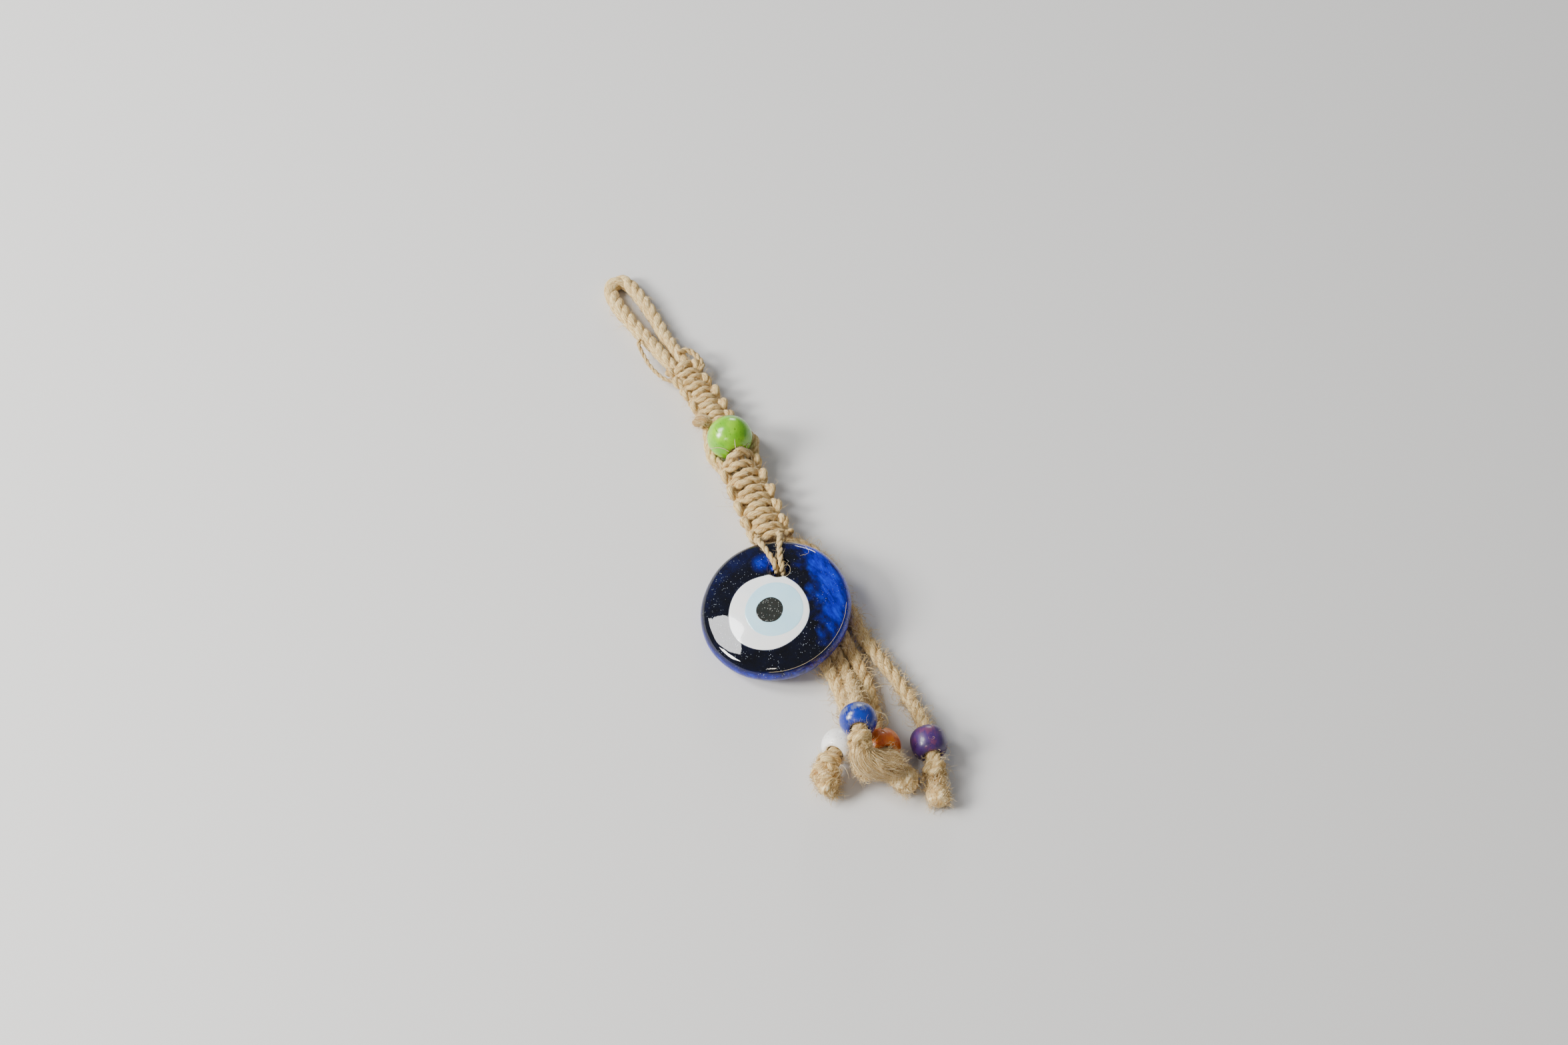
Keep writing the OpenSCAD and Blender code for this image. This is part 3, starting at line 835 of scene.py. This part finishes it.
def add_loop():
    """The hanging loop and its two legs, which go down between the first knots."""
    route = np.vstack([upper(LEGS_END, -LEG_SIDE, UPPER_Z), upper(0.08, -1.8, UPPER_Z), LOOP_ROUTE,
                       upper(0.08, 1.8, UPPER_Z), upper(LEGS_END, LEG_SIDE, UPPER_Z)])
    path = smooth(route)
    thick = ROPE_R * np.interp(arc(path) / arc(path)[-1], [0, 0.1, 0.35, 0.5, 0.9, 1],
                               [0.95, 1.1, 1.22, 1.16, 1.04, 0.95])
    plies = rope(path, thick, 3, ROPE_LAY, 21, sides=14, share=0.6)
    loop = mesh_piece("loop_rope", plies, "jute_rope", None, ["hanging_loop"])
    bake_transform(loop)
    fluff = mesh_piece("loop_fuzz", fuzz(path, thick, 700, (0.7, 3.2), 22), "jute_fray", None)
    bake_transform(fluff)


def add_neck_twines():
    """The knotting twine's slack where the knots begin: one bow to the left, one bight right."""
    bow = [[-24.0, 43.4, 3.9], [-24.3, 41.7, 4.3], [-22.9, 38.2, 3.6], [-21.3, 35.2, 3.2],
           [-18.9, 31.9, 3.2], [-15.6, 28.9, 3.8], [-13.4, 28.0, 4.4]]
    bight = [[-13.2, 37.4, 5.6], [-10.4, 38.5, 5.2], [-7.6, 36.5, 5.0], [-6.1, 33.9, 4.9],
             [-6.3, 31.8, 4.6]]
    twines = (("neck_bow_twine", bow, 0.6, 51), ("neck_bight_twine", bight, 0.85, 52))
    for name, route, radius, seed in twines:
        path = smooth(route, 0.2)
        part = joined([rope(path, radius, 2, 4.0, seed, sides=10),
                       fuzz(path, radius, 46, (0.5, 2.2), seed)])
        mesh_piece(name, part, "jute_twine", "strap")


def add_cut_end():
    """A cut and frayed twine end beside the green bead."""
    route = [[-3.4, 12.6, 5.6], [-5.0, 13.2, 5.9], [-6.6, 13.4, 5.2], [-8.2, 13.5, 4.3]]
    lump = smooth(route, 0.25)
    part = joined([tassel(route, [1.2, 1.7, 1.9, 1.6], 240, 61),
                   strand(lump, rounded_ends(lump, 1.35, 1.4), 62, twist=0.6, ridge=0.22)])
    mesh_piece("cut_twine_end", part, "jute_fray", "strap")


# ---- Beads ----
def aim_frame(way):
    """Side and top for a direction, as the CAD part turns its beads."""
    way = unit(way)
    side = unit(np.cross(way, UP))
    return side, np.cross(way, side), way


def bead_profile(radius, half, bore_r, squareness):
    """A bead's section, as (distance out, height): its flank, eased edges and bore."""
    ease = 0.35
    latitude = np.linspace(-0.97, 0.97, 38) * QUARTER_TURN
    power = 2 / squareness
    out = radius * np.abs(np.cos(latitude)) ** power
    height = half * np.sign(latitude) * np.abs(np.sin(latitude)) ** power
    keep = out > bore_r + ease * 1.6
    out, height = out[keep], height[keep]
    lip = np.linspace(0.15, 1, 5) * QUARTER_TURN
    top = np.stack([bore_r + ease - ease * np.sin(lip), height[-1] - ease + ease * np.cos(lip)], 1)
    wall = np.stack([np.full(9, bore_r), np.linspace(top[-1, 1], -top[-1, 1], 11)[1:-1]], 1)
    bottom = top[::-1] * [1, -1]
    return np.vstack([np.stack([out, height], 1), top, wall, bottom])


def bead(centre, way, diameter, length, bore_r, squareness, seed, sides=72):
    """A turned wooden bead with a bore through it."""
    radius = diameter / 2
    profile = bead_profile(radius, length / 2 + 0.12, bore_r, squareness)
    turn = turns(sides)
    side, top, axis = aim_frame(way)
    rng = np.random.default_rng(seed)
    wobble = 1 + 0.006 * np.cos(2 * turn + rng.uniform(0, 6)) + 0.004 * np.cos(3 * turn)
    x = profile[:, :1] * np.cos(turn)[None] * wobble
    y = profile[:, :1] * np.sin(turn)[None] * wobble
    z = np.broadcast_to(profile[:, 1:], x.shape)
    points = np.array(centre) + x[..., None] * side + y[..., None] * top + z[..., None] * axis
    grain = np.stack([x, y, z], axis=-1) / radius + rng.uniform(0, 30, 3)
    near_bore = np.clip(1.25 - (profile[:, 0] - bore_r) / (0.26 * radius), 0, 1) * 0.55
    tone = np.broadcast_to(near_bore[:, None], x.shape)
    return Part(points, closed_walls(x.shape), grain, tone)


def add_green_bead():
    """The green bead, the two twines in its bore and the loose fibres on it."""
    part = bead(GREEN_AT, GREEN_DIR, diameter=12.5, length=11.6, bore_r=1.9, squareness=2.0,
                seed=71, sides=96)
    mesh_piece("green_bead_shell", part, "green_paint", "green_bead", ["green_bead"])
    through = ((-7.9, -2.6), (-6.6, -0.3), (-5, 0), (5, 0), (6.4, -0.2), (8.2, -1.6))
    strands = []
    for side in (-1, 1):
        apart = GREEN_ACROSS * side * 0.85
        route = [GREEN_AT + unit(GREEN_DIR) * along + apart + UP * z for along, z in through]
        strands.append(rope(smooth(route), TWINE_R, 2, TWINE_LAY, 73 + side, sides=10))
    mesh_piece("bead_strands_twine", joined(strands), "jute_twine", "strap", ["bead_strands"])
    fibres = {
        "bead_fibre_left": [[-3.2, 2.5, 7.9], [-2.2, 1.5, 9.4], [-0.9, 0.8, 10.7], [0.9, 0.2, 10.9],
                            [2.3, -0.3, 10.1]],
        "bead_fibre_middle": [[3.7, 1.8, 13.3], [3.8, 0.6, 12.7], [4.0, -0.4, 11.8],
                              [4.2, -1.2, 10.7]],
        "bead_fibre_right": [[7.8, 3.0, 9.2], [7.2, 2.6, 9.9], [6.7, 1.5, 9.0], [6.4, 0.2, 7.8]],
    }
    for seed, (name, route) in enumerate(fibres.items()):
        stray(name, route, 0.09, "strap", 75 + seed)


# ---- Glass ----
def glass_matrix():
    """Rotation of the disc's own frame in the row frame."""
    lean = math.radians(GLASS_LEAN)
    x, y, z = unit(GLASS_LEAN_AXIS)
    cross = np.array([[0, -z, y], [z, 0, -x], [-y, x, 0]])
    tilt = np.eye(3) + math.sin(lean) * cross + (1 - math.cos(lean)) * cross @ cross
    turn = math.radians(GLASS_TURN)
    spin = np.array([[math.cos(turn), -math.sin(turn), 0], [math.sin(turn), math.cos(turn), 0],
                     [0, 0, 1]])
    return tilt @ spin


def on_glass(points):
    """Points of the disc's own frame, in the row frame."""
    return np.asarray(points, float) @ glass_matrix().T + GLASS_PLACE


def dome(x, y):
    """Height of the disc's domed face."""
    return GLASS_T - DOME_R + np.sqrt(DOME_R**2 - x**2 - y**2)


def circle_of(sides):
    """Points evenly round a circle of radius 1."""
    turn = turns(sides)
    return np.stack([np.cos(turn), np.sin(turn)], axis=1)


def level(xy, height):
    """A ring at one height, or at a height for each point."""
    return np.column_stack([xy, np.broadcast_to(height, len(xy))])


def dome_rings(circle):
    """From the bore's flared mouth over the dome to the rim."""
    flare_depth, flare_reach, flare_power = 2.1, 0.6, 1.25
    bore = BORE_AT + BORE_R * circle
    meet = (DOME_R * RIM_CENTRE) / (DOME_R - RIM_R)
    rings = []
    for u in np.linspace(0, 1, 46) ** 1.9:
        xy = (1 - u) * bore + u * meet * circle
        away = np.maximum(np.linalg.norm(xy - BORE_AT, axis=1) - BORE_R, 0)
        flare = flare_depth * np.exp(-((away / flare_reach) ** flare_power))
        rings.append(level(xy, dome(*xy.T) - flare))
    return rings


def glass_rings(sides):
    """The disc's section as rings: over the dome, round the rim, under it and up the bore."""
    circle = circle_of(sides)
    rings = dome_rings(circle)
    start = math.asin(RIM_CENTRE / (DOME_R - RIM_R))
    for angle in np.linspace(start, math.pi, 22)[1:]:
        xy = (RIM_CENTRE + RIM_R * math.sin(angle)) * circle
        rings.append(level(xy, RIM_R + RIM_R * math.cos(angle)))
    for u in np.linspace(1, 0, 16)[1:]:
        xy = (1 - u) * (BORE_AT + (BORE_R + BORE_EASE) * circle) + u * RIM_CENTRE * circle
        rings.append(level(xy, 0.0))
    for angle in np.linspace(0, QUARTER_TURN, 5)[1:]:
        xy = BORE_AT + (BORE_R + BORE_EASE * (1 - math.sin(angle))) * circle
        rings.append(level(xy, BORE_EASE * (1 - math.cos(angle))))
    for share in np.linspace(0, 1, 14)[1:-1]:
        height = BORE_EASE + share * (rings[0][:, 2] - BORE_EASE)
        rings.append(level(BORE_AT + BORE_R * circle, height))
    return np.array(rings)


def glass_wave(points):
    """How the poured glass strays from a true shape at points of the disc's frame."""
    wave = unevenness(points, 0.1, 0.26, 3) + unevenness(points, 0.4, 0.02, 9)
    away = np.column_stack([points[:, :2] / 20, (points[:, 2] - RIM_R) / 5])
    hold = np.clip((np.linalg.norm(points[:, :2] - BORE_AT, axis=1) - 2.2) / 3, 0, 1)
    raised = np.clip(points[:, 2] / 2, 0, 1)
    return (wave * hold * raised)[:, None] * away


def add_glass():
    """The disc. Its grain is the place in its own frame, which the glass material goes by."""
    rings = glass_rings(168)
    flat = rings.reshape(-1, 3)
    flat = flat + glass_wave(flat)
    part = Part(on_glass(flat), closed_walls(rings.shape, True), flat, np.zeros(len(flat)))
    mesh_piece("glass_body", part, "cobalt_glass", "glass", ["glass_disc"])


def eye_edge(centre, radius, seed, sides):
    """How far a layer of the eye reaches on each side. It stops short of the bore."""
    turn = turns(sides)
    ripple = 0.010 * np.cos(3 * turn + seed) + 0.006 * np.cos(5 * turn + 2 * seed)
    to_bore = BORE_AT - centre
    ahead = circle_of(sides) @ to_bore
    inside = ahead**2 - to_bore @ to_bore + (BORE_R + 1.0) ** 2
    notch = np.where((inside > 0) & (ahead > 0), ahead - np.sqrt(np.maximum(inside, 0)), 1e3)
    return np.minimum(radius * (1 + ripple), notch)


def fan(pole, ring):
    """Quads from a pole's point to the ring next to it."""
    first = np.arange(0, len(ring), 2)
    return np.stack([np.full(len(first), pole), ring[first], ring[first + 1],
                     np.roll(ring, -2)[first]], axis=1)


def eye_layer(centre, radius, proud, depth, seed):
    """A fused layer of the eye: a thin lens that stands a hair proud of the dome."""
    sides, steps, eased = 120, 26, 0.055
    edge = eye_edge(centre, radius, seed, sides)
    top, bottom = [], []
    for share in np.sin(np.linspace(0, QUARTER_TURN, steps))[1:]:
        xy = centre + share * edge[:, None] * circle_of(sides)
        base = dome(*xy.T) - LAYER_SUNK
        swell = (1 - share**2) ** 0.5 if share < 1 else 0.0
        rim = min(1.0, (1 - share) / eased)
        rise = (proud + LAYER_SUNK) * math.sin(rim * QUARTER_TURN)
        top.append(level(xy, base + rise))
        bottom.append(level(xy, base - depth * swell))
    poles = [[*centre, dome(*centre) + proud], [*centre, dome(*centre) - LAYER_SUNK - depth]]
    rings = np.array(top + bottom[-2::-1])
    flat = np.vstack([rings.reshape(-1, 3), poles])
    flat = flat + glass_wave(level(flat[:, :2], dome(*flat[:, :2].T)))
    index = numbers(len(rings), sides)
    quads = [walls_over(index, True), fan(index.size, index[0]),
             fan(index.size + 1, index[-1])[:, [0, 3, 2, 1]]]
    return Part(on_glass(flat), np.vstack(quads), flat, np.zeros(len(flat)))


def add_eye():
    """The three layers: piece, CAD node, slot, middle, radius, height and depth."""
    layers = (
        ("eye_white_layer", "eye_white", "white_glass", (-0.5, -3.0), 10.9, 0.05, 1.9),
        ("eye_iris_layer", "eye_pale_blue", "pale_blue_glass", (1.0, -2.2), 7.9, 0.09, 1.1),
        ("eye_pupil_layer", "eye_pupil", "black_glass", (-0.1, -2.6), 3.7, 0.13, 0.7),
    )
    for seed, (name, node_name, slot, centre, radius, proud, depth) in enumerate(layers):
        part = eye_layer(np.array(centre), radius, proud, depth, seed)
        mesh_piece(name, part, slot, "glass", [node_name])


def add_sling():
    """Two twines over the rim and down the bore, and the stopper knot behind it."""
    out_of_knots = {"left": [[10.8, -24.4, 5.2], [9.9, -26.6, 7.4]],
                    "right": [[14.6, -23.2, 5.6], [15.7, -25.2, 8.0]]}
    for label, route in (("left", SLING_LEFT), ("right", SLING_RIGHT)):
        path = smooth(np.vstack([out_of_knots[label], on_glass(route)]), 0.2)
        twine = mesh_piece(f"sling_{label}_twine", rope(path, TWINE_R, 2, TWINE_LAY, 81),
                           "jute_twine", None, [f"sling_{label}"])
        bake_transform(twine)
        fibres = fuzz(path[:-30], TWINE_R, 90, (0.4, 1.8), 82, lift=0.4)
        fluff = mesh_piece(f"sling_{label}_fuzz", fibres, "jute_fray", None)
        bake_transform(fluff)
    centre = on_glass([SLING_KNOT])[0]
    knot = rope(knot_path(centre, 1.25, glass_matrix()[:, 2]), 0.62, 2, 3.5, 83, sides=10)
    mesh_piece("sling_stopper_knot", knot, "jute_twine", "sling", ["sling_knot"])
    curl = [[16.9, -39.4, 11.4], [18.0, -38.2, 12.9], [18.7, -39.6, 13.4], [18.3, -41.3, 13.2],
            [17.2, -41.8, 12.9], [16.3, -40.9, 12.4]]
    stray("bore_curl_fibre", curl, 0.05, "sling", 84)


def add_glass_fibres():
    """Two shed fibres that cling to the glass."""
    rim_out, rim_z = 19.2, 6.25
    turn = np.radians(np.linspace(8, -84, 9))
    rim = np.column_stack([rim_out * np.cos(turn), rim_out * np.sin(turn), np.full(9, rim_z)])
    stray("rim_fibre", on_glass(rim), 0.04, "glass", 91)
    over = [[-4.6, 17.4, 7.0], [-1.5, 18.6, 6.9], [2.5, 18.5, 6.85], [6.2, 17.2, 7.05],
            [7.0, 15.3, 7.75], [5.0, 14.2, 8.0]]
    stray("top_fibre", on_glass(over), 0.04, "glass", 92)


# ---- Tails ----
def add_tail_curl():
    """A loose curl of fibre to the right of the blue bead."""
    curl = [[38.4, -78.6, 9.0], [40.4, -80.3, 10.2], [42.6, -81.4, 10.4], [43.0, -83.6, 10.0],
            [41.4, -84.6, 9.0]]
    stray("tail_curl", curl, 0.22, "strap", 93)


def add_brush():
    """The blue tail's loose fibres, which splay to the right over the orange bead."""
    route = [[35.9, -90.9, 15.3], [36.4, -93.6, 12.9], [39.4, -95.2, 11.0], [43.2, -95.0, 9.6],
             [46.8, -94.4, 8.4]]
    part = joined([felt(route, [1.8, 2.7, 3.1, 3.0, 2.0], 171, 1100),
                   tassel(route, [2.0, 3.4, 4.2, 4.4, 4.0], 620, 172)])
    return mesh_piece("blue_loose_brush", part, "jute_fray", "strap")


def tail_knot(colour, centre, way, seed):
    """The stopper knot under a bead."""
    route = knot_path(centre, 2.2, way)
    part = joined([rope(route, 1.3, 2, 6.0, seed, share=0.68),
                   fuzz(route, 1.2, 260, (0.5, 2.4), seed + 1, lift=0.8)])
    return mesh_piece(f"{colour}_stopper_knot", part, "jute_rope", "strap", [f"{colour}_knot"])


def add_tail(index, colour, tail):
    """A free cord with its loose fibres, bead, stopper knot and frayed end."""
    seed = 100 + 10 * index
    path = smooth(tail["route"])
    cord = mesh_piece(f"{colour}_tail_rope", rope(path, ROPE_R, 3, ROPE_LAY, seed), "jute_rope",
                      "strap", [f"{colour}_tail"])
    fibres = fuzz(path, ROPE_R, 1300, (0.8, 4.4), seed + 1, lift=0.65, thickness=0.06, curl=0.2)
    fluff = mesh_piece(f"{colour}_tail_fuzz", fibres, "jute_fray", "strap")
    middle, way, diameter, squareness = tail["bead"]
    turned = bead(middle, way, diameter, BEAD_LEN, BEAD_BORE_R, squareness, seed + 2)
    shell = mesh_piece(f"{colour}_bead_shell", turned, f"{colour}_paint", f"{colour}_bead",
                       [f"{colour}_bead"])
    knot = tail_knot(colour, tail["knot"], way, seed + 3)
    frayed = felt([tail["knot"], *tail["end"]], tail["spread"], seed + 5)
    loose = [mesh_piece(f"{colour}_frayed_end", frayed, "jute_fray", "strap", [f"{colour}_end"])]
    if colour == "blue":
        loose.append(add_brush())


MATERIALS = {slot: jute_material(slot, *colours) for slot, colours in JUTE.items()}
MATERIALS["cobalt_glass"] = glass_material()
MATERIALS |= {slot: enamel_material(slot, *colours) for slot, colours in ENAMEL.items()}
MATERIALS |= {slot: paint_material(slot, *looks) for slot, looks in PAINT.items()}

add_camera()
for place, (tail_colour, tail_facts) in enumerate(TAILS.items()):
    add_tail(place, tail_colour, tail_facts)
add_floor()
add_world()
for light_facts in LIGHTS:
    add_light(*light_facts)
add_loop()
add_neck_twines()
add_main_ropes()
knotted_length("upper_knots", upper, UPPER_SPAN, UPPER_COUNT,
               width=3.65, mid_z=UPPER_Z, reach_z=2.25, rise=0.0, seed=5)
knotted_length("lower_knots", lower, LOWER_SPAN, LOWER_COUNT,
               width=4.75, mid_z=LOWER_Z, reach_z=2.8, rise=5.0, seed=9)
add_cut_end()
add_green_bead()
add_glass()
add_eye()
add_sling()
add_glass_fibres()
add_tail_curl()
